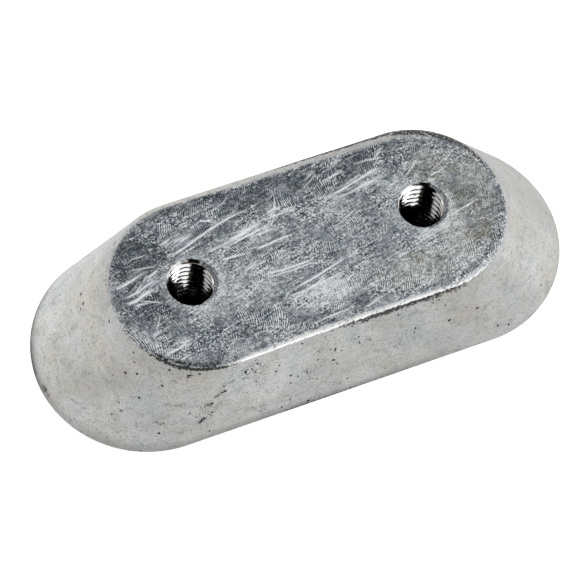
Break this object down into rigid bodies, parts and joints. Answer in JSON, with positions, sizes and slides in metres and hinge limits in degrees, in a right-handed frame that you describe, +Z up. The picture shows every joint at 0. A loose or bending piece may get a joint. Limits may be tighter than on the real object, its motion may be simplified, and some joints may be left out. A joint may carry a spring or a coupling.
{
  "type": "sacrificial anode",
  "caption": "Round-ended cast zinc anode block with tapered sides, a machined seat on top and tapped blind mounting holes in the seat.",
  "frame": {"origin": "centre of the flat underside, the wide face of the casting", "axes": "+X along the bar, +Y across it, +Z up from the underside out of the machined seat"},
  "size_m": [0.1012, 0.0412, 0.0218],
  "materials": {
    "zinc": "as-cast matt grey zinc on the sides, darker machined metal on the seat"
  },
  "bodies": {
    "root": {"anode_block": "zinc"}
  },
  "joints": []
}
